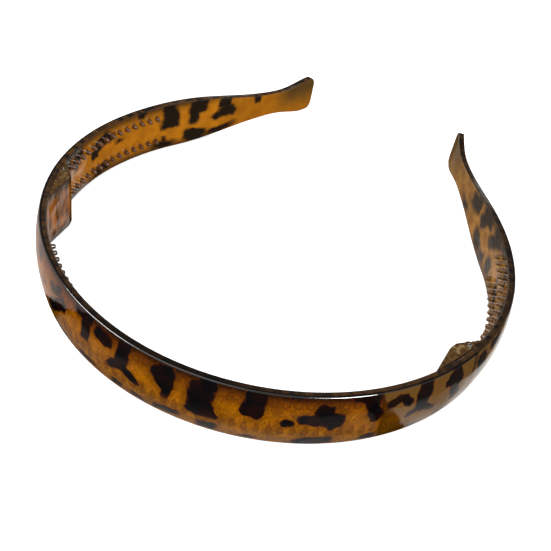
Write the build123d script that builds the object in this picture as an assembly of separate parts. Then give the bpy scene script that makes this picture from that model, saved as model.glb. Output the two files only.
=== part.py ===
from build123d import *
import os
from math import cos, degrees, hypot, pi, radians, sin, tan

# Folding headband, standing on its lower edge. X runs across the head, +Y toward the arm tips and
# +Z up. The origin is at the middle of the footprint, on the table.

# ---------------------------------------------------------------- driving dimensions, millimetres
BAND_WIDTH = 15.1           # full height of the band
EDGE_THICKNESS = 1.8        # inner face to outer face along the band's edges
DOME_RISE = 1.0             # how far the outer face bulges past its edges at full width
INNER_CORNER = 0.5          # rounding of the inner edges
OUTER_CORNER = 0.35         # rounding of the outer edges
SKIN_THICKNESS = 0.55       # patterned laminate on the outer face
GLUE_LINE = 0.03            # between the laminate and the moulding under it

# Centre line of the half band in plan: tangent arcs, with lengths from the middle of the crown.
CROWN_RADIUS, CROWN_END = 59.7, 106.0
FLANK_RADIUS, FLANK_END = 74.3, 127.0
NECK_END = 168.4            # straight from the flank to here
FLARE_RADIUS = 52.5         # the tip turns outward
HALF_LENGTH = 182.9

# Past the flank the arm eases down to a neck and out again to the paddle.
NECK, NECK_WIDTH = 165.5, 7.9
PADDLE, PADDLE_WIDTH = 180.0, 11.8
PADDLE_CORNER = 3.3         # rounding of the paddle's end, seen square on
ARM_STATIONS = 13           # sections from the end of the flank to just past the tip

# Wedge lug on the inner face, which holds the hinge. Its plan points are lengths past the seam.
SEAM = 74.5                 # where the arm butts against the crown on the outer face
SEAM_GAP = 0.15
LUG_RISE = 3.3
LUG_FOOT = -12.6
LUG_CREST = (-4.0, -1.6)
LUG_BEVEL = 29.0            # degrees, from the crest down to the arm
LUG_CORNER = 0.6            # rounding of the crest, seen from above
LUG_EDGE = 0.4              # rounding of the lug's upper and lower edges

# Hinge inside the lug.
PIN_AHEAD = 0.3             # pin centre past the seam
PIN_INSIDE = 0.85           # pin centre in from the inner face
PIN_RADIUS = 0.6
PIN_ENDS = (0.9, 14.8)      # heights of the pin's two ends
PIN_CHAMFER = 0.12
PIN_PRESS_FIT = 0.01
PIN_RUNNING_FIT = 0.05
KNUCKLE_RADIUS = 1.3
HINGE_GAP = 0.2
TONGUE = (5.0, 10.1)        # heights of the arm's tongue between the crown's two leaves
FREE_ANGLE = 80.0           # degrees of fold that the knuckles are cut free for

# Comb nubs, in two rows on the inner face.
NUB_HEIGHT = 1.5
NUB_ROOT_RADIUS, NUB_TIP_RADIUS = 0.85, 0.5
NUB_TIP_ROUNDING = 0.35
NUB_SINK = 0.3              # depth of the nub's root inside the band
NUB_ROW_OFFSET = 3.9        # each row from mid height
CROWN_NUBS_PER_ROW, CROWN_NUB_PITCH = 39, 2.45
ARM_NUBS_PER_ROW, ARM_NUB_PITCH = 14, 2.9
ARM_NUBS_START = 81.5

HALF = BAND_WIDTH / 2
FACE = EDGE_THICKNESS / 2   # the inner face lies at offset -FACE, the outer edges at +FACE
BODY_FACE = FACE - SKIN_THICKNESS - GLUE_LINE
UPRIGHT = (Align.CENTER, Align.CENTER, Align.MIN)


# ---------------------------------------------------------------- plan curve
def centre_line(length):
    """Plan point and heading, in radians, of the centre line of the right half."""
    stretches = ((1 / CROWN_RADIUS, CROWN_END), (1 / FLANK_RADIUS, FLANK_END), (0, NECK_END),
                 (-1 / FLARE_RADIUS, HALF_LENGTH + 10))
    x, y, heading, start = 0.0, 0.0, 0.0, 0.0
    for curvature, end in stretches:
        run = min(length, end) - start
        if curvature:
            turned = heading + run * curvature
            x += (sin(turned) - sin(heading)) / curvature
            y -= (cos(turned) - cos(heading)) / curvature
            heading = turned
        else:
            x += run * cos(heading)
            y += run * sin(heading)
        if length <= end:
            break
        start = end
    return x, y, heading


def plan_point(length, offset):
    """Plan point at a length along the band, with the offset positive outward."""
    x, y, heading = centre_line(length)
    return x + offset * sin(heading), y - offset * cos(heading)


def section_plane(length):
    """Plane across the band: its X runs outward, its Y up, its origin is at mid height."""
    x, y, heading = centre_line(length)
    return Plane(origin=(x, y, HALF), x_dir=(sin(heading), -cos(heading), 0),
                 z_dir=(-cos(heading), -sin(heading), 0))


def ease(start, end, share):
    """Value on the way from start to end, level at both."""
    return start + (end - start) * (1 - cos(pi * min(max(share, 0), 1))) / 2


def arm_width(length):
    if length < NECK:
        return ease(BAND_WIDTH, NECK_WIDTH, (length - FLANK_END) / (NECK - FLANK_END))
    return ease(NECK_WIDTH, PADDLE_WIDTH, (length - NECK) / (PADDLE - NECK))


# ---------------------------------------------------------------- cross-sections
def dome(half, offset):
    """Outer arc of a section of this half width, from its lower edge to its upper edge."""
    crest = offset + DOME_RISE * half / HALF
    return ThreePointArc((offset, -half), (crest, 0), (offset, half))


def section(half, near, far, corner, corner_offset):
    """Section between a near line and a far arc, both drawn upward, with two corners rounded."""
    face = make_face([near, Line(near @ 1, far @ 1), far, Line(far @ 0, near @ 0)])
    corners = [v for v in face.vertices() if abs(v.X - corner_offset) < 1e-6]
    return fillet(corners, corner)


def body_section(half):
    inner_face = Line((-FACE, -half), (-FACE, half))
    return section(half, inner_face, dome(half, BODY_FACE), INNER_CORNER, -FACE)


def skin_section(half):
    return section(half, dome(half, FACE - SKIN_THICKNESS), dome(half, FACE), OUTER_CORNER, FACE)


# ---------------------------------------------------------------- band solids
def arc_stretch(profile, radius, start, end):
    """Full-width stretch along one of the plan arcs."""
    x, y, heading = centre_line(start)
    axis = Axis((x - radius * sin(heading), y + radius * cos(heading), 0), (0, 0, 1))
    return revolve(section_plane(start) * profile(HALF), axis,
                   revolution_arc=degrees((end - start) / radius))


def tip_trim():
    """What is cut from a square-ended paddle to round its end."""
    x, y, heading = centre_line(HALF_LENGTH)
    facing = Plane(origin=(x, y, HALF), x_dir=(cos(heading), sin(heading), 0),
                   z_dir=(sin(heading), -cos(heading), 0))
    reach = 24
    kept = Pos(-reach / 2, 0) * RectangleRounded(reach, PADDLE_WIDTH + 0.4, PADDLE_CORNER)
    around = Rectangle(2 * PADDLE_CORNER, 2 * BAND_WIDTH)
    return extrude(facing * (around - kept), amount=6, both=True)


def arm_layer(profile):
    """One layer of the right arm, from the seam to the tip."""
    step = (HALF_LENGTH + 2 - FLANK_END) / (ARM_STATIONS - 1)
    stations = [section_plane(length) * profile(arm_width(length) / 2)
                for length in (FLANK_END + step * n for n in range(ARM_STATIONS))]
    layer = arc_stretch(profile, CROWN_RADIUS, SEAM + SEAM_GAP, CROWN_END)
    layer += arc_stretch(profile, FLANK_RADIUS, CROWN_END, FLANK_END)
    layer += loft(stations)
    return layer - tip_trim()


def crown_layer(profile):
    """One layer of the crown, from seam to seam."""
    return arc_stretch(profile, CROWN_RADIUS, -SEAM, SEAM)


# ---------------------------------------------------------------- hinge, right side
PIN_CENTRE = plan_point(SEAM + PIN_AHEAD, -FACE - PIN_INSIDE)
BEVEL_RUN = LUG_RISE / tan(radians(LUG_BEVEL))


def about_pin(shape, angle):
    """The plan shape turned about the pin. A positive angle folds the arm inward."""
    x, y = PIN_CENTRE
    return Pos(x, y) * Rot(0, 0, angle) * Pos(-x, -y) * shape


def disc(radius):
    return Pos(*PIN_CENTRE) * Circle(radius)


def lug_outline():
    """Plan outline of the whole lug, sunk into the band behind its inner face."""
    root = -FACE + INNER_CORNER + 0.05
    toe = LUG_CREST[1] + BEVEL_RUN
    crest = -FACE - LUG_RISE
    outline = [(LUG_FOOT, root), (LUG_FOOT, -FACE), (LUG_CREST[0], crest), (LUG_CREST[1], crest),
               (toe, -FACE), (toe, root)]
    corners = [plan_point(SEAM + past, offset) for past, offset in outline]
    return make_face(Polyline(corners, close=True))


def crown_side():
    """Half plane on the crown's side of the line through the pin and square to the bevel."""
    crest, toe = (Vector(*plan_point(SEAM + past, -FACE - rise))
                  for past, rise in ((LUG_CREST[1], LUG_RISE), (LUG_CREST[1] + BEVEL_RUN, 0)))
    along = (toe - crest).normalized()
    plane = Plane(origin=(*PIN_CENTRE, 0), x_dir=along, z_dir=(0, 0, 1))
    return plane * Pos(-20, 0) * Rectangle(40, 40)


def between(outline, bottom, top):
    """Upright prism on a plan outline."""
    return extrude(Pos(0, 0, bottom) * outline, amount=top - bottom)


def stands_proud(edge):
    """Whether the middle of an edge lies well inside the band's inner face."""
    middle = edge.center()
    return hypot(middle.X, middle.Y - CROWN_RADIUS) < CROWN_RADIUS - FACE - 0.2


def rounded_lug():
    """The lug as one full-height block with its exposed edges rounded."""
    block = between(lug_outline(), 0, BAND_WIDTH)
    block = fillet(block.edges().filter_by(Axis.Z).filter_by(stands_proud), LUG_CORNER)
    return fillet(block.edges().filter_by(Plane.XY).filter_by(stands_proud), LUG_EDGE)


def hinge_cuts():
    """Plan outlines cut from the arm beside the crown's leaves, and from the crown round the tongue."""
    lug = lug_outline()
    crown_part = lug & crown_side()
    arm_part = lug - crown_side()
    room = disc(KNUCKLE_RADIUS + HINGE_GAP)
    from_arm = room + offset(crown_part, HINGE_GAP)
    from_arm += about_pin(offset(crown_part, HINGE_GAP), -FREE_ANGLE)
    from_crown = room + offset(arm_part, HINGE_GAP)
    from_crown += about_pin(offset(arm_part, HINGE_GAP), FREE_ANGLE)
    return from_arm, from_crown


# ---------------------------------------------------------------- comb nubs
def nub():
    """One nub, with its root at the origin and its tip along -X."""
    peg = Cone(NUB_ROOT_RADIUS, NUB_TIP_RADIUS, NUB_HEIGHT + NUB_SINK, align=UPRIGHT)
    tip_rim = peg.faces().sort_by(Axis.Z)[-1].edges()
    return Rot(0, -90, 0) * fillet(tip_rim, NUB_TIP_ROUNDING)


def comb(first, per_row, pitch):
    """Two rows of nubs on the inner face. Lengths left of the crown's middle are negative."""
    peg = nub()
    places = [section_plane(first + step * pitch) * Pos(-FACE + NUB_SINK, row)
              for step in range(per_row) for row in (-NUB_ROW_OFFSET, NUB_ROW_OFFSET)]
    return [place * peg for place in places]


# ---------------------------------------------------------------- pieces
def other_side(shape):
    return mirror(shape, about=Plane.YZ)


def crown_body():
    """Crown moulding with its nubs and, at each end, the lug with the hinge's two leaves."""
    tongue_room = (TONGUE[0] - HINGE_GAP / 2, TONGUE[1] + HINGE_GAP / 2)
    lug = rounded_lug() & between(crown_side(), 0, BAND_WIDTH)
    lug += between(disc(KNUCKLE_RADIUS), 0, BAND_WIDTH)
    bore = Pos(*PIN_CENTRE, PIN_ENDS[0]) * Cylinder(PIN_RADIUS - PIN_PRESS_FIT, BAND_WIDTH, align=UPRIGHT)
    slot = between(FROM_CROWN, *tongue_room)
    body = crown_layer(body_section) + [lug, other_side(lug)]
    body -= [slot, other_side(slot), bore, other_side(bore)]
    first = -CROWN_NUB_PITCH * (CROWN_NUBS_PER_ROW - 1) / 2
    return body + comb(first, CROWN_NUBS_PER_ROW, CROWN_NUB_PITCH)


def arm_body():
    """Right arm moulding with its nubs and the hinge's tongue."""
    tail = rounded_lug() - between(crown_side(), 0, BAND_WIDTH)
    tongue = between(disc(KNUCKLE_RADIUS), *TONGUE)
    bore = Pos(*PIN_CENTRE) * Cylinder(PIN_RADIUS + PIN_RUNNING_FIT, 3 * BAND_WIDTH)
    body = arm_layer(body_section) + tail
    body -= [between(FROM_ARM, -1, TONGUE[0]), between(FROM_ARM, TONGUE[1], BAND_WIDTH + 1)]
    body += tongue
    body -= bore
    return body + comb(ARM_NUBS_START, ARM_NUBS_PER_ROW, ARM_NUB_PITCH)


def hinge_pin():
    bottom, top = PIN_ENDS
    pin = Cylinder(PIN_RADIUS, top - bottom, align=UPRIGHT)
    return Pos(*PIN_CENTRE, bottom) * chamfer(pin.edges().filter_by(GeomType.CIRCLE), PIN_CHAMFER)


FROM_ARM, FROM_CROWN = hinge_cuts()
right = {"arm_body": arm_body(), "arm_skin": arm_layer(skin_section), "hinge_pin": hinge_pin()}
pieces = {"crown_body": crown_body(), "crown_skin": crown_layer(skin_section)}
for name, shape in right.items():
    pieces["right_" + name] = shape
    pieces["left_" + name] = other_side(shape)

boxes = [shape.bounding_box() for shape in pieces.values()]
middle = (min(box.min.Y for box in boxes) + max(box.max.Y for box in boxes)) / 2

os.makedirs("parts", exist_ok=True)
for name, shape in pieces.items():
    export_step(Pos(0, -middle, 0) * shape, f"parts/{name}.step")
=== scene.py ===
from math import cos, pi, radians, sin

import bpy
from mathutils import Matrix, Vector

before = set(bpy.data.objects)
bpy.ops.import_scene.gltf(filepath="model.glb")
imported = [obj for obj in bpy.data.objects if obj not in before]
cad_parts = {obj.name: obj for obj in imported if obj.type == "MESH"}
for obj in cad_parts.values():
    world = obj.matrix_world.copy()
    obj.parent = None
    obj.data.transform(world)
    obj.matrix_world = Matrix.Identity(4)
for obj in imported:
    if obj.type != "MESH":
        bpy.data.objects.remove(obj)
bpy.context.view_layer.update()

# Folding tortoiseshell headband. Scene units are metres; every pattern below is laid out in
# millimetres and in the object's own space, so it travels with the piece that carries it.

# ---------------------------------------------------------------- the band's own measures, mm
MIDDLE = 70.063             # from the front of the centre line to the origin
HALF_WIDTH = 7.55
HALF_THICKNESS = 0.9
CROWN_RADIUS, CROWN_END = 59.7, 106.0
FLANK_RADIUS, FLANK_END = 74.3, 127.0
CROWN_NUB_PITCH = 2.45
LUG_START, LUG_END = 60.5, 80.6
LUG_DOT, LUG_RING, LUG_RING_RADIUS = (70.8, 2.5), (72.2, 0.4), 1.7     # pale patch on its top
NECK_START, TIP_START = 150.0, 168.0


def centre_line(length):
    """Plan point and heading of the centre line of the right half, up to the neck."""
    first = min(length, CROWN_END) / CROWN_RADIUS
    x, y, heading = CROWN_RADIUS * sin(first), CROWN_RADIUS * (1 - cos(first)) - MIDDLE, first
    if length > CROWN_END:
        turned = heading + (min(length, FLANK_END) - CROWN_END) / FLANK_RADIUS
        x += FLANK_RADIUS * (sin(turned) - sin(heading))
        y -= FLANK_RADIUS * (cos(turned) - cos(heading))
        heading = turned
    run = max(length - FLANK_END, 0)
    return x + run * cos(heading), y + run * sin(heading), heading


# ---------------------------------------------------------------- tortoise blotches
# A blotch is a list of ovals that melt together: length along the band, height from mid
# width, the two half sizes and the tilt in degrees. Lengths run from the middle of the crown.
CROWN_BLOTCHES = [
    [(-67.8, 4.1, 3.4, 2.0, 30), (-69.8, 0.9, 2.2, 1.5, 70)],
    [(-60.8, -2.3, 3.0, 1.7, -40)],
    [(-58.8, 6.1, 2.4, 1.3, 10)],
    [(-49.8, -1.1, 5.0, 1.6, 52)],
    [(-43.8, 5.6, 1.9, 2.1, 60)],
    [(-38.4, 0.8, 1.2, 0.7, 20)],
    [(-30.1, 1.3, 4.4, 1.8, 38), (-31.6, 4.5, 3.3, 1.2, 28), (-32.6, -0.8, 2.9, 1.6, 35)],
    [(-39.3, -5.2, 2.8, 0.8, 0)],
    [(-20.0, 6.9, 3.4, 1.8, -5), (-18.8, 3.0, 2.9, 1.5, 90)],
    [(-13.7, 5.2, 2.7, 1.8, -12)],
    [(-7.9, 5.7, 3.0, 1.9, 90), (-8.2, 1.9, 2.0, 1.5, 90), (-10.2, 0, 2.0, 1.2, 20),
     (-6, -0.2, 2.9, 1.0, -42)],
    [(1.5, 5.1, 2.9, 1.7, 28), (3, 2.5, 4.2, 1.2, 86), (1.7, 2.7, 2.0, 1.5, -50),
     (2.2, 6.2, 2.0, 1.2, 12)],
    [(11.2, 6.9, 2.1, 1.9, 0), (9.9, 4.0, 2.8, 2.5, 0), (10, 1.3, 2.6, 1.2, 0),
     (10.2, -0.6, 3.0, 2.1, 0), (12.8, -2, 1.4, 0.9, -35)],
    [(21.1, 6.2, 2.3, 2.3, 0), (20.7, 3.1, 2.5, 2.6, 0)],
    [(28.6, 8, 1.8, 1.2, 0)],
    [(27.8, 0.3, 1.3, 1.15, 0)],
    [(31.5, 1.6, 1.9, 1.3, 8), (35.1, 4.1, 2.0, 1.9, -20), (35.6, 1.6, 3.7, 1.7, 0),
     (37.6, 1.5, 1.6, 2.1, 0), (37.1, -0.7, 0.7, 0.7, 0)],
    [(43.8, 7.0, 3.5, 1.2, -6), (45.4, 4.0, 3.7, 1.8, -66), (46.4, 1.3, 1.6, 1.0, -80)],
    [(50.1, 4.6, 1.9, 1.3, 32), (51.8, 5.1, 1.4, 1.2, 0), (53.2, 4.2, 1.9, 1.3, -45)],
    [(57.6, 5.3, 3.3, 1.9, 90), (57.4, 1.6, 1.6, 1.3, 0), (55.5, -0.2, 2.0, 1.1, 40),
     (60, -0.5, 2.6, 1.0, -30)],
    [(67.1, 4.9, 3.1, 2.1, -62), (65.4, 4.4, 1.8, 1.3, 0), (67.9, 0.7, 2.9, 1.6, -66)],
    [(-18.8, -5.6, 2.7, 0.8, 0)], [(-9.3, -5.6, 1.5, 1.0, 0)], [(-4.1, -6.3, 1.7, 0.7, 0)],
    [(2.9, -5.4, 3.2, 1.0, 10)], [(12, -5.7, 2.2, 1.2, 0)], [(20.7, -6.6, 1.9, 0.5, 0)],
    [(34.2, -5.8, 4.2, 1.5, 8)], [(46.5, -5.9, 1.7, 1.1, 0)], [(57.7, -6.3, 1.7, 0.7, 0)],
    [(-29.3, -6.3, 2.0, 0.8, 0)], [(-52.3, -5.9, 2.2, 0.9, 0)], [(66.2, -5.5, 2.4, 1.1, 15)],
]
LEFT_ARM_BLOTCHES = [
    [(80.2, 3.9, 2.2, 1.8, 90), (82.2, 6.9, 4.5, 1.2, 0)],
    [(85.7, 4.1, 3.2, 1.8, 20), (84.7, 1.7, 1.4, 1.3, 0)],
    [(83.7, -5.7, 4.0, 1.3, 0)],
    [(97.6, 3.8, 3.5, 2.0, 15), (94.3, 1, 1.7, 1.6, 0), (101.6, 3.4, 1.5, 1.3, 0)],
    [(104.7, 1.1, 1.3, 0.7, 0)],
    [(97.7, -5.1, 3.6, 1.6, 0)],
    [(113.2, 6.5, 1.5, 1.6, 0)],
    [(123.6, 6.1, 2.4, 2.2, 0), (124.2, 3.5, 3.0, 2.0, 0), (124, 1, 3.4, 2.0, 0)],
    [(121.7, -5.8, 4.0, 1.2, -5), (122, -4.1, 0.9, 0.9, 0)],
    [(134.2, 5.0, 3.4, 2.5, 0), (132.6, 1.8, 3.1, 1.7, 90)],
    [(133.2, -4.8, 4.2, 2.3, -12), (142.5, -4.7, 6.0, 1.1, 12)],
    [(144.2, 4.6, 2.5, 2.1, 0), (145.2, 2.5, 2.4, 1.4, -20), (146.4, 1.2, 2.2, 1.4, -20),
     (143.8, 1.2, 2.0, 1.5, 0), (141.2, 0.2, 2.0, 1.2, 30)],
    [(157.2, 3.5, 1.5, 1.8, 0)],
]
RIGHT_ARM_BLOTCHES = [
    [(76.6, 3.3, 4.0, 1.8, -80), (78.5, 0.6, 1.6, 1.2, 30)],
    [(83, 6.1, 2.8, 1.3, 0), (85.2, 4.6, 1.3, 1.5, 40)],
    [(88, -1.2, 3.4, 1.7, 35), (90.6, 0.9, 1.6, 1.3, 80), (86, -2.8, 1.3, 0.9, 0)],
    [(84, -5.9, 3.0, 1.1, 0)],
    [(96, 4.5, 3.2, 1.8, -25), (98.2, 2.2, 1.6, 1.3, 0), (94, 6.4, 2.4, 1.2, 0)],
    [(103, -5.1, 3.4, 1.5, 5), (100.6, -3.4, 1.4, 1.2, 60)],
    [(111, -2.5, 2.4, 1.5, 20), (113, -0.8, 1.5, 1.0, 60), (109.4, -4, 1.2, 1.0, 0)],
    [(109, 5.7, 2.2, 1.6, 0), (107.2, 4.2, 1.4, 1.0, 40)],
    [(117.5, 6.8, 2.6, 1.0, 0)],
    [(124.3, 5.6, 3.0, 2.2, -20), (126.6, 3, 2.0, 1.7, -40), (128, 1.6, 1.3, 1.0, 0)],
    [(123.6, -3.6, 1.9, 2.0, 0)],
    [(130, -5.2, 2.2, 1.5, -25)],
    [(134.4, 5.4, 3.6, 2.0, -10), (136.6, 2.6, 2.4, 1.8, -50)],
    [(136, -3.8, 3.2, 1.9, 25)],
    [(145, 2.8, 3.4, 2.0, -8), (143, 4.8, 1.8, 1.6, 0)],
    [(152.5, -2.9, 2.0, 0.9, 0)],
]


# ---------------------------------------------------------------- node building
class Graph:
    """Short calls for building a node tree."""

    def __init__(self, tree):
        self.tree = tree
        tree.nodes.clear()

    def feed(self, socket, value):
        if isinstance(value, bpy.types.NodeSocket):
            self.tree.links.new(value, socket)
        else:
            socket.default_value = value

    def node(self, kind, inputs=None, **settings):
        node = self.tree.nodes.new(kind)
        for key, value in settings.items():
            setattr(node, key, value)
        for socket, value in (inputs or {}).items():
            self.feed(node.inputs[socket], value)
        return node

    def math(self, operation, *values):
        node = self.node("ShaderNodeMath", dict(enumerate(values)), operation=operation)
        return node.outputs[0]

    def vector(self, operation, *values, output=0):
        node = self.node("ShaderNodeVectorMath", dict(enumerate(values)), operation=operation)
        return node.outputs[output]

    def length(self, value):
        return self.vector("LENGTH", value, output=1)

    def split(self, value):
        return self.node("ShaderNodeSeparateXYZ", {0: value}).outputs

    def join(self, x=0.0, y=0.0, z=0.0):
        return self.node("ShaderNodeCombineXYZ", {0: x, 1: y, 2: z}).outputs[0]

    def ease(self, value, start, end, first=0.0, last=1.0):
        """Smooth step from first to last while the value goes from start to end."""
        inputs = {0: value, 1: start, 2: end, 3: first, 4: last}
        return self.node("ShaderNodeMapRange", inputs, interpolation_type="SMOOTHSTEP").outputs[0]

    def mix(self, share, first, second):
        node = self.node("ShaderNodeMix", data_type="RGBA")
        for index, value in ((0, share), (6, first), (7, second)):
            self.feed(node.inputs[index], colour(value))
        return node.outputs[2]

    def scaled(self, tint, factor):
        """A colour made darker or lighter by a number."""
        node = self.node("ShaderNodeVectorMath", operation="SCALE")
        self.feed(node.inputs[0], tint)
        self.feed(node.inputs["Scale"], factor)
        return node.outputs[0]

    def noise(self, place, scale, detail=2.0, roughness=0.5, output=0):
        inputs = {"Vector": place, "Scale": scale, "Detail": detail, "Roughness": roughness}
        return self.node("ShaderNodeTexNoise", inputs).outputs[output]


def colour(value):
    return (*value, 1.0) if isinstance(value, tuple) and len(value) == 3 else value


def srgb(red, green, blue):
    """Linear colour of a display colour given as 0 to 255."""
    shares = (channel / 255 for channel in (red, green, blue))
    return tuple(s / 12.92 if s <= 0.04045 else ((s + 0.055) / 1.055) ** 2.4 for s in shares)


# ---------------------------------------------------------------- pattern groups
def object_mm(graph):
    place = graph.node("ShaderNodeTexCoord").outputs["Object"]
    return graph.vector("MULTIPLY", place, (1000, 1000, 1000))


def band_place(graph, on_crown):
    """Place on the band in mm: along it, then height from mid width. Arms use Y as the length."""
    x, y, z = graph.split(object_mm(graph))
    height = graph.math("SUBTRACT", z, HALF_WIDTH)
    if not on_crown:
        return y, height
    ahead = graph.math("SUBTRACT", CROWN_RADIUS - MIDDLE, y)
    return graph.math("MULTIPLY", graph.math("ARCTAN2", x, ahead), CROWN_RADIUS), height


def tortoise_group(name, blotches, on_crown):
    """Group giving the distance to the nearest blotch edge, in mm, negative inside."""
    tree = bpy.data.node_groups.new(name, "ShaderNodeTree")
    for output in ("Distance", "Along", "Height"):
        tree.interface.new_socket(output, in_out="OUTPUT", socket_type="NodeSocketFloat")
    tree.interface.new_socket("Place", in_out="OUTPUT", socket_type="NodeSocketVector")
    graph = Graph(tree)
    along, height = band_place(graph, on_crown)
    place = graph.join(along, height)
    wander = graph.vector("SUBTRACT", graph.noise(place, 0.36, 1.0, output=1), (0.5, 0.5, 0.5))
    ragged = graph.vector("SUBTRACT", graph.noise(place, 1.3, 2.0, output=1), (0.5, 0.5, 0.5))
    warped = graph.vector("MULTIPLY_ADD", wander, (1.9, 1.9, 0), place)
    warped = graph.vector("MULTIPLY_ADD", ragged, (0.55, 0.55, 0), warped)
    nearest = None
    for ovals in blotches:
        melted = None
        for length, rise, half_along, half_across, tilt in ovals:
            station, stretch = length, 1.0
            if not on_crown:
                _, station, heading = centre_line(length)
                stretch = sin(heading)
            oval = graph.node("ShaderNodeMapping", {
                "Vector": warped, "Location": (station, rise, 0), "Rotation": (0, 0, radians(tilt)),
                "Scale": (half_along * stretch, half_across, 1)}, vector_type="TEXTURE").outputs[0]
            size = min(half_along, half_across)
            square = graph.length(graph.vector("MULTIPLY", oval, oval))
            edge = graph.math("MULTIPLY_ADD", graph.math("SQRT", square), size, -size)
            melted = edge if melted is None else graph.math("SMOOTH_MIN", melted, edge, 0.8)
        nearest = melted if nearest is None else graph.math("MINIMUM", nearest, melted)
    graph.node("NodeGroupOutput", {"Distance": nearest, "Along": along, "Height": height,
                                   "Place": place})
    return tree


CROWN = tortoise_group("crown tortoise", CROWN_BLOTCHES, True)
LEFT = tortoise_group("left arm tortoise", LEFT_ARM_BLOTCHES, False)
RIGHT = tortoise_group("right arm tortoise", RIGHT_ARM_BLOTCHES, False)


# ---------------------------------------------------------------- materials
def surface(graph, tint, roughness, bump_height, bump_distance, **settings):
    """Principled surface with a bump and the material's output."""
    normal = graph.node("ShaderNodeBump", {"Strength": 1.0, "Distance": bump_distance,
                                           "Height": bump_height}).outputs[0]
    inputs = {"Base Color": tint, "Roughness": roughness, "Normal": normal, **settings}
    shader = graph.node("ShaderNodeBsdfPrincipled", inputs)
    graph.node("ShaderNodeOutputMaterial", {"Surface": shader.outputs[0]})


def new_graph(name):
    material = bpy.data.materials.new(name)
    material.use_nodes = True
    return material, Graph(material.node_tree)


def polish(graph, place):
    """Roughness and bump height of handled, polished plastic."""
    smudge = graph.noise(place, 0.16, 3.0, 0.6)
    hair = graph.noise(graph.vector("MULTIPLY", place, (0.35, 3.0, 3.0)), 5.0, 2.0)
    roughness = graph.math("MULTIPLY_ADD", smudge, 0.06, 0.01)
    roughness = graph.math("MULTIPLY_ADD", hair, 0.02, roughness)
    waves = graph.noise(place, 0.22, 1.0)
    peel = graph.noise(place, 1.6, 2.0)
    height = graph.math("MULTIPLY_ADD", peel, 0.06, waves)
    return roughness, graph.math("MULTIPLY_ADD", hair, 0.01, height)


PLASTIC_IOR = 1.5
PLASTIC_RELIEF = 0.00012    # metres
AMBER = srgb(145, 85, 2)
AMBER_LIGHT = srgb(130, 81, 10)
AMBER_DEEP = srgb(108, 52, 2)
AMBER_EDGE = srgb(44, 20, 4)
# olive painted reflection, the veil over the band's right flank
OLIVE_PAINTED_REFLECTION = srgb(106, 73, 30)
BLOTCH_RIM = srgb(64, 26, 5)
BLOTCH_BLACK = srgb(8, 7, 9)
BLOTCH_MAROON = srgb(24, 9, 6)
BLOTCH_BLURRED = srgb(30, 21, 12)
NUB_SHADOW = srgb(82, 42, 6)
MOULDING_BORDER = srgb(78, 50, 18)
# dark tone of the painted shade on the moulding's upper and lower edges
MOULDING_RIM_SHADE = srgb(18, 12, 8)
TIP_OLIVE = srgb(86, 60, 24)
LUG_WALL_DARK, LUG_WALL_LIGHT, LUG_WALL_BORDER = srgb(82, 44, 8), srgb(164, 94, 8), srgb(48, 31, 16)
LUG_TOP_DARK, LUG_TOP_LIGHT, LUG_TOP_PATCH = srgb(70, 46, 22), srgb(96, 70, 36), srgb(160, 134, 92)

# Lengths along the crown and heights from mid width, mm, at which its laminate changes or painted shade
# and painted reflection begin.
MARK_ROWS = (5.4, -2.2)     # where the two rows of nubs show through, shifted by refraction
MARK_RADIUS = 0.8
LAST_MARK = 47.5
SHADED_WEDGE_START, SHADED_WEDGE_SLANT = 47.4, 0.14       # painted shade: a darker wedge, which leans by the slant
REFLECTION_START, REFLECTION_SLANT = 51.4, 0.7        # painted reflection: an olive veil beyond it
SEAM_LINE = 73.7


def facing_up(graph):
    """One on the band's upper and lower edges, nought on its faces. The edges' painted shade follows it.
    """
    normal = graph.node("ShaderNodeNewGeometry").outputs["Normal"]
    return graph.ease(graph.math("ABSOLUTE", graph.split(normal)[2]), 0.45, 0.85)


def amber_tint(graph, place, height):
    """Clear amber, deeper toward the upper edge, with faint clouds in it."""
    tint = graph.mix(graph.ease(height, -6.5, 0.5), AMBER_LIGHT, AMBER)
    tint = graph.mix(graph.ease(height, 1.5, 7.0), tint, AMBER_DEEP)
    tint = graph.mix(graph.ease(height, 5.0, 7.6), tint, AMBER_EDGE)
    clouds = graph.noise(place, 0.3, 3.0, 0.55)
    tint = graph.scaled(tint, graph.ease(clouds, 0.28, 0.72, 0.66, 1.2))
    grain = graph.noise(graph.vector("MULTIPLY", place, (1.0, 0.45, 1.0)), 2.4, 2.0)
    tint = graph.scaled(tint, graph.ease(grain, 0.25, 0.75, 0.7, 1.18))
    specks = graph.noise(place, 4.5, 2.0, 0.6)
    return graph.scaled(tint, graph.ease(specks, 0.46, 0.66, 1.06, 0.56))


def nub_marks(graph, along, height):
    """How strongly the comb nubs behind the crown show through: rings above, drops below."""
    step = graph.math("WRAP", along, CROWN_NUB_PITCH / 2, -CROWN_NUB_PITCH / 2)
    above = graph.math("SUBTRACT", height, MARK_ROWS[0])
    ring = graph.math("SUBTRACT", graph.length(graph.join(step, above)), MARK_RADIUS)
    ring = graph.ease(graph.math("ABSOLUTE", ring), 0.1, 0.34, 1.0, 0.0)
    rise = graph.math("DIVIDE", graph.math("SUBTRACT", height, MARK_ROWS[1]), 1.8)
    narrow = graph.ease(rise, -0.6, 1.0, 1.15, 2.2)
    drop = graph.length(graph.join(graph.math("MULTIPLY", step, narrow), rise))
    hollow = graph.ease(drop, 0.2, 0.9, 0.6, 1.0)
    drop = graph.math("MULTIPLY", graph.ease(drop, 0.75, 1.15, 1.0, 0.0), hollow)
    reach = graph.ease(graph.math("ABSOLUTE", along), LAST_MARK, LAST_MARK + 1.5, 1.0, 0.0)
    return graph.math("MULTIPLY", graph.math("MAXIMUM", ring, drop), reach)


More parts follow.
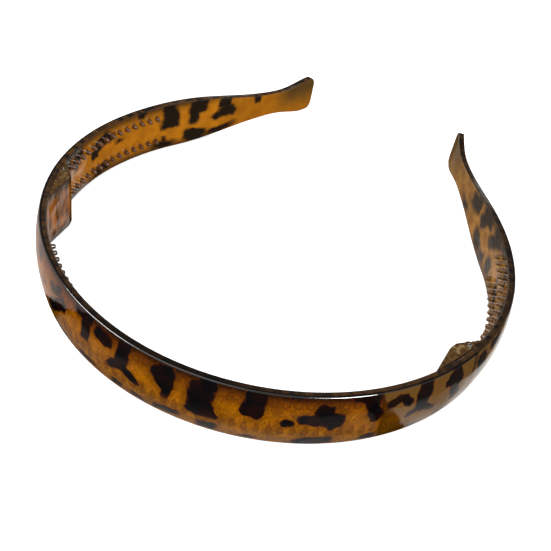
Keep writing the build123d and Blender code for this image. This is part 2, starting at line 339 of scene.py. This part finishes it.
def crown_marks_and_painted_light(graph, tint, along, height):
    """The crown's nub marks, a darker wedge of painted shade on its right and an olive painted reflection
    past that.
    """
    marks = graph.math("MULTIPLY", nub_marks(graph, along, height), 0.7)
    tint = graph.mix(marks, tint, NUB_SHADOW)
    # painted shade: the amber darkened past the wedge's slanted edge
    slant = graph.math("MULTIPLY_ADD", height, SHADED_WEDGE_SLANT, along)
    tint = graph.scaled(tint, graph.ease(slant, SHADED_WEDGE_START, SHADED_WEDGE_START + 0.5, 1.0, 0.42))
    # painted reflection: olive veil past a second slanted edge
    slant = graph.math("MULTIPLY_ADD", height, REFLECTION_SLANT, along)
    return graph.mix(graph.ease(slant, REFLECTION_START, REFLECTION_START + 0.7, 0.0, 0.85), tint, OLIVE_PAINTED_REFLECTION)


def laminate(name, group):
    """Patterned outer laminate: sharp dark blotches in clear amber under a gloss surface."""
    material, graph = new_graph(name)
    pattern = graph.node("ShaderNodeGroup", node_tree=group).outputs
    edge, along, height, place = (pattern[key] for key in ("Distance", "Along", "Height", "Place"))
    tint = graph.scaled(amber_tint(graph, place, height), graph.ease(edge, 0.0, 1.3, 0.72, 1.0))
    # painted reflection: an olive veil on the right arm's part nearest the crown
    if group is RIGHT:
        tint = graph.mix(graph.ease(along, -25.0, 10.0, 0.85, 0.0), tint, OLIVE_PAINTED_REFLECTION)
    if group is CROWN:
        tint = crown_marks_and_painted_light(graph, tint, along, height)
    clouds = graph.ease(graph.noise(place, 0.25, 2.0), 0.42, 0.66)
    dark = graph.mix(clouds, BLOTCH_BLACK, BLOTCH_MAROON)
    dark = graph.mix(graph.ease(edge, -0.35, 0.0), dark, BLOTCH_RIM)
    tint = graph.mix(graph.ease(edge, -0.06, 0.12), dark, tint)
    if group is CROWN:
        seam = graph.math("SUBTRACT", graph.math("ABSOLUTE", along), SEAM_LINE)
        seam = graph.math("ABSOLUTE", seam)
        tint = graph.mix(graph.ease(seam, 0.2, 0.9, 0.8, 0.0), tint, BLOTCH_BLACK)
    # painted shade: the upper and lower edges darkened, to a tenth on the crown and three tenths on the
    # arms
    tint = graph.mix(facing_up(graph), tint, graph.scaled(tint, 0.1 if group is CROWN else 0.3))
    roughness, bump = polish(graph, object_mm(graph))
    surface(graph, tint, roughness, bump, PLASTIC_RELIEF, IOR=PLASTIC_IOR)
    return material


def beside_band(graph):
    """Length from the crown's middle, and how far a point stands in from the inner face, mm."""
    x, y, _ = graph.split(object_mm(graph))
    side = graph.math("ABSOLUTE", x)
    ahead = graph.math("SUBTRACT", CROWN_RADIUS - MIDDLE, y)
    length = graph.math("MULTIPLY", graph.math("ARCTAN2", side, ahead), CROWN_RADIUS)
    crown = graph.math("SUBTRACT", CROWN_RADIUS - HALF_THICKNESS, graph.length(graph.join(side, ahead)))
    end_x, end_y, heading = centre_line(CROWN_END)
    across = graph.math("SUBTRACT", side, end_x - FLANK_RADIUS * sin(heading))
    back = graph.math("SUBTRACT", y, end_y + FLANK_RADIUS * cos(heading))
    flank = graph.math("SUBTRACT", FLANK_RADIUS - HALF_THICKNESS, graph.length(graph.join(across, back)))
    share = graph.math("GREATER_THAN", y, end_y)
    step = graph.math("MULTIPLY", share, graph.math("SUBTRACT", flank, crown))
    return length, graph.math("ADD", crown, step)


def lug_tint(graph, length, inward, height):
    """Brown lug: golden upright streaks on its walls, pale moulding patches on its ends."""
    streaks = graph.noise(graph.join(length, inward, graph.math("MULTIPLY", height, 0.2)), 0.9, 2.0)
    wall = graph.mix(graph.ease(streaks, 0.34, 0.66), LUG_WALL_DARK, LUG_WALL_LIGHT)
    wall = graph.mix(graph.ease(graph.math("ABSOLUTE", height), 3.5, 7.2), wall, LUG_WALL_BORDER)
    clouds = graph.noise(graph.join(length, inward), 0.9, 2.0)
    end = graph.mix(graph.ease(clouds, 0.35, 0.65), LUG_TOP_DARK, LUG_TOP_LIGHT)
    dot, ring = (graph.join(graph.math("SUBTRACT", length, at), graph.math("SUBTRACT", inward, depth))
                 for at, depth in (LUG_DOT, LUG_RING))
    ring = graph.math("ABSOLUTE", graph.math("SUBTRACT", graph.length(ring), LUG_RING_RADIUS))
    patch = graph.math("MAXIMUM", graph.ease(graph.length(dot), 0.3, 1.0, 0.8, 0.0),
                       graph.ease(ring, 0.1, 0.7, 0.6, 0.0))
    patch = graph.math("MULTIPLY", patch, graph.ease(clouds, 0.4, 0.6))
    right_side = graph.ease(graph.split(object_mm(graph))[0], -1.0, 1.0, 0.35, 1.0)
    end = graph.mix(graph.math("MULTIPLY", patch, right_side), end, LUG_TOP_PATCH)
    return graph.mix(facing_up(graph), wall, end)


def tip_tint(graph, tint, along, height):
    """The arm's thinner end: a shade darker from the neck on, olive in its upper part."""
    neck, tip = centre_line(NECK_START)[1], centre_line(TIP_START)[1]
    tint = graph.scaled(tint, graph.ease(along, neck - 8, neck, 1.0, 0.78))
    olive = graph.mix(graph.ease(height, -5.5, 3.5), tint, TIP_OLIVE)
    return graph.mix(graph.ease(along, tip - 5, tip + 3), tint, olive)


def moulding(name, group, warm, bright, blur, shaded_edge_tint, nub_tint):
    """Amber moulding: the laminate's blotches show through its inner face, blurred over blur mm."""
    material, graph = new_graph(name)
    pattern = graph.node("ShaderNodeGroup", node_tree=group).outputs
    edge, along, height, place = (pattern[key] for key in ("Distance", "Along", "Height", "Place"))
    clouds = graph.noise(place, 0.25, 3.0, 0.55)
    tint = graph.mix(graph.ease(clouds, 0.3, 0.7), warm, bright)
    specks = graph.noise(place, 3.2, 2.0, 0.6)
    tint = graph.scaled(tint, graph.ease(specks, 0.5, 0.72, 1.0, 0.74))
    tint = graph.mix(graph.ease(graph.math("ABSOLUTE", height), 4.2, 7.4), tint, MOULDING_BORDER)
    if group is not CROWN:
        tint = tip_tint(graph, tint, along, height)
    tint = graph.mix(graph.ease(edge, -0.6, blur), BLOTCH_BLURRED, tint)
    # painted shade: the upper and lower edge faces take dark tones
    painted_rim = graph.mix(graph.ease(graph.noise(place, 0.5, 2.0), 0.35, 0.65), MOULDING_RIM_SHADE, shaded_edge_tint)
    # painted light: on the crown that edge shade is darkest at the middle and lightens toward the sides
    if group is CROWN:
        painted_rim = graph.scaled(painted_rim, graph.ease(graph.math("ABSOLUTE", along), 8.0, 40.0, 0.5, 2.6))
    tint = graph.mix(facing_up(graph), tint, painted_rim)
    length, inward = beside_band(graph)
    on_lug = graph.math("MULTIPLY", graph.math("GREATER_THAN", length, LUG_START),
                        graph.math("LESS_THAN", length, LUG_END))
    proud = graph.mix(on_lug, nub_tint, lug_tint(graph, length, inward, height))
    stands_in = graph.ease(inward, 0.1, 0.25)
    tint = graph.mix(stands_in, tint, proud)
    roughness, bump = polish(graph, object_mm(graph))
    on_nub = graph.math("MAXIMUM", graph.math("SUBTRACT", stands_in, on_lug), 0.0)
    roughness = graph.math("MULTIPLY_ADD", on_nub, 0.3, roughness)
    surface(graph, tint, roughness, bump, PLASTIC_RELIEF, IOR=PLASTIC_IOR)
    return material


def pin_steel():
    """Turned steel with rings round its axis."""
    material, graph = new_graph("pin_steel")
    place = object_mm(graph)
    rings = graph.noise(graph.vector("MULTIPLY", place, (0.4, 0.4, 9.0)), 2.0, 2.0)
    tint = graph.mix(rings, srgb(176, 172, 164), srgb(206, 203, 196))
    surface(graph, tint, graph.math("MULTIPLY_ADD", rings, 0.2, 0.22), rings, 0.00003, Metallic=1.0)
    return material


STEEL = pin_steel()
MATERIALS = {
    "crown_skin": laminate("crown laminate", CROWN),
    "crown_body": moulding("crown moulding", CROWN, warm=srgb(128, 74, 14), bright=srgb(150, 90, 20),
                           blur=0.6, shaded_edge_tint=srgb(44, 28, 12), nub_tint=srgb(70, 42, 12)),
    "left_arm_skin": laminate("left laminate", LEFT),
    "left_arm_body": moulding("left moulding", LEFT, warm=srgb(164, 100, 14), bright=srgb(188, 116, 18),
                              blur=0.6, shaded_edge_tint=srgb(84, 54, 20), nub_tint=srgb(98, 55, 12)),
    "right_arm_skin": laminate("right laminate", RIGHT),
    "right_arm_body": moulding("right moulding", RIGHT, warm=srgb(118, 76, 26), bright=srgb(158, 108, 40),
                               blur=1.5, shaded_edge_tint=srgb(58, 38, 18), nub_tint=srgb(104, 68, 22)),
    "left_hinge_pin": STEEL,
    "right_hinge_pin": STEEL,
}
for name, material in MATERIALS.items():
    mesh = bpy.data.objects[name].data
    mesh.materials.clear()
    mesh.materials.append(material)


# ---------------------------------------------------------------- stage
FLOOR_SIZE, FLOOR_GLOW = 40.0, 0.7


def add_floor():
    """Pale paper that glows a little, so it stays white. The band's gloss doesn't see it."""
    bpy.ops.mesh.primitive_plane_add(size=FLOOR_SIZE, location=(0, 0, 0))
    floor = bpy.context.object
    floor.name = "floor"
    material, graph = new_graph("floor paper")
    speck = graph.noise(object_mm(graph), 0.4, 2.0)
    tint = graph.mix(speck, (0.86, 0.86, 0.86), (0.88, 0.88, 0.88))
    paper = graph.node("ShaderNodeBsdfDiffuse", {"Color": tint}).outputs[0]
    glow = graph.node("ShaderNodeEmission", {"Color": (1, 1, 1, 1), "Strength": FLOOR_GLOW}).outputs[0]
    both = graph.node("ShaderNodeAddShader", {0: paper, 1: glow}).outputs[0]
    graph.node("ShaderNodeOutputMaterial", {"Surface": both})
    floor.data.materials.append(material)
    floor.visible_glossy = False
    return floor


# What the band's gloss picks up off the table is laid out on a plane one unit under the band.
# Two pale sheets lie on it, each past a straight edge, with a dark gap in front of the edge.
LEFT_SHEET, LEFT_EDGE, LEFT_GAP = (-0.862, 0.506), (1.0, 1.025), (0.885, 0.9)
RIGHT_SHEET, RIGHT_EDGE, RIGHT_GAP = (0.605, 0.796), (0.63, 0.665), (0.475, 0.5)
LEFT_SHEET_NEAR, LEFT_SHEET_FAR = (0.66, 0.56, 0.51), (0.24, 0.21, 0.18)
RIGHT_SHEET_WHITE, RIGHT_SHEET_END = (1.0, 0.97, 0.92), (0.06, 0.05, 0.04)
TABLE_WARM, TABLE_FAR = (1.0, 0.94, 0.9), (0.03, 0.03, 0.03)
SKY_LEFT, SKY_RIGHT, SKY_BACK = (1.1, 1.1, 1.1), (0.8, 0.8, 0.8), (0.13, 0.125, 0.12)


def past(graph, x, y, across):
    """How far a point of the table lies in the direction across."""
    return graph.math("MULTIPLY_ADD", x, across[0], graph.math("MULTIPLY", y, across[1]))


def left_sheet(graph, y, reach):
    """The left sheet's light, which falls off at its far end."""
    far = graph.math("MULTIPLY", graph.ease(reach, 1.4, 1.6), graph.ease(y, 0.7, 0.9))
    return graph.mix(far, LEFT_SHEET_NEAR, LEFT_SHEET_FAR)


def right_sheet(graph, x, y, reach):
    """The right sheet's light: brighter toward the back and bounded on its outer side."""
    near_edge = graph.ease(past(graph, x, y, RIGHT_SHEET), 0.64, 1.0, 0.55, 0.18)
    light = graph.math("MAXIMUM", near_edge, graph.ease(y, 0.5, 1.1, 0.18, 1.0))
    light = graph.math("MULTIPLY", light, graph.ease(x, 0.0, 0.25))
    beside = graph.ease(graph.math("MULTIPLY_ADD", y, -0.5, x), 0.02, 0.12)
    beside = graph.math("MULTIPLY", graph.ease(reach, 1.2, 1.32), beside)
    bound = graph.math("MAXIMUM", graph.ease(reach, 1.42, 1.55), beside)
    return graph.mix(bound, graph.scaled(RIGHT_SHEET_WHITE, light), RIGHT_SHEET_END)


def table_light(graph, x, y):
    """The table's light toward the band: a dim warm pool underneath and the two sheets."""
    reach = graph.length(graph.join(x, y))
    pool = graph.ease(reach, 0.2, 0.65, 0.38, 0.0)
    pool = graph.math("ADD", pool, graph.ease(reach, 0.6, 1.0, 0.07, 0.02))
    aside = graph.ease(graph.math("ABSOLUTE", x), 0.55, 0.8, 0.0, 0.14)
    table = graph.scaled(TABLE_WARM, graph.math("ADD", pool, aside))
    table = graph.mix(graph.ease(reach, 1.25, 1.35), table, TABLE_FAR)
    past_left, past_right = past(graph, x, y, LEFT_SHEET), past(graph, x, y, RIGHT_SHEET)
    gap = graph.math("MAXIMUM", graph.ease(past_left, *LEFT_GAP), graph.ease(past_right, *RIGHT_GAP))
    table = graph.mix(gap, table, (0.0, 0.0, 0.0))
    table = graph.mix(graph.ease(past_left, *LEFT_EDGE), table, left_sheet(graph, y, reach))
    return graph.mix(graph.ease(past_right, *RIGHT_EDGE), table, right_sheet(graph, x, y, reach))


def sky_light(graph, x, y, z):
    """White studio above the horizon, dim in a band at the back."""
    sky = graph.mix(graph.ease(x, 0.0, 0.8), SKY_LEFT, SKY_RIGHT)
    band = graph.math("MULTIPLY", graph.ease(z, 0.2, 0.38), graph.ease(z, 0.84, 0.9, 1.0, 0.0))
    return graph.mix(graph.math("MULTIPLY", graph.ease(y, 0.2, 0.4), band), sky, SKY_BACK)


def add_world():
    """The surroundings: the studio above the horizon and the table below it."""
    world = bpy.data.worlds.new("studio")
    bpy.context.scene.world = world
    world.use_nodes = True
    graph = Graph(world.node_tree)
    x, y, z = graph.split(graph.node("ShaderNodeTexCoord").outputs["Generated"])
    drop = graph.math("MAXIMUM", graph.math("MULTIPLY", z, -1.0), 0.05)
    table = table_light(graph, graph.math("DIVIDE", x, drop), graph.math("DIVIDE", y, drop))
    light = graph.mix(graph.ease(z, -0.012, -0.006), table, sky_light(graph, x, y, z))
    background = graph.node("ShaderNodeBackground", {"Color": light, "Strength": 1.0}).outputs[0]
    graph.node("ShaderNodeOutputWorld", {"Surface": background})


def add_softbox(name, azimuth, elevation, distance, size, radiance, gloss_only):
    """Rectangular light aimed at the band. Azimuth runs from the front toward the right."""
    az, el = radians(azimuth), radians(elevation)
    toward = Vector((sin(az) * cos(el), -cos(az) * cos(el), sin(el)))
    data = bpy.data.lights.new(name, "AREA")
    data.shape, data.size, data.size_y = "RECTANGLE", *size
    data.energy = radiance * pi * size[0] * size[1]
    light = bpy.data.objects.new(name, data)
    light.location = toward * distance
    light.rotation_euler = toward.to_track_quat("Z", "Y").to_euler()
    light.visible_diffuse = not gloss_only
    bpy.context.scene.collection.objects.link(light)


# ---------------------------------------------------------------- camera
CAMERA_AZIMUTH, CAMERA_ELEVATION, CAMERA_ROLL = 17.8, 40.1, 12.1   # degrees
CAMERA_TARGET = Vector((0.0057, -0.0248, 0.00755))
CAMERA_DISTANCE = 0.192
CAMERA_LENS, CAMERA_SENSOR = 50.44, 36.0


def add_camera():
    """Camera above the band's front, rolled about its line of sight."""
    az, el, roll = (radians(a) for a in (CAMERA_AZIMUTH, CAMERA_ELEVATION, CAMERA_ROLL))
    back = Vector((sin(az) * cos(el), -cos(az) * cos(el), sin(el)))
    level = Vector((cos(az), sin(az), 0))
    upright = back.cross(level)
    right = level * cos(roll) + upright * sin(roll)
    up = upright * cos(roll) - level * sin(roll)
    data = bpy.data.cameras.new("camera")
    data.lens, data.sensor_width = CAMERA_LENS, CAMERA_SENSOR
    camera = bpy.data.objects.new("camera", data)
    place = CAMERA_TARGET + back * CAMERA_DISTANCE
    camera.matrix_world = Matrix.Translation(place) @ Matrix((right, up, back)).transposed().to_4x4()
    bpy.context.scene.collection.objects.link(camera)
    bpy.context.scene.camera = camera


add_floor()
add_world()
add_softbox("key", azimuth=-60, elevation=66, distance=0.8, size=(0.6, 0.6), radiance=2.0,
            gloss_only=False)
add_softbox("left strip", azimuth=-61, elevation=45, distance=0.6, size=(0.32, 0.14), radiance=32.0,
            gloss_only=True)
add_softbox("right strip", azimuth=63, elevation=42, distance=0.6, size=(0.17, 0.22), radiance=90.0,
            gloss_only=True)
add_camera()
bpy.context.scene.view_settings.view_transform = "Standard"
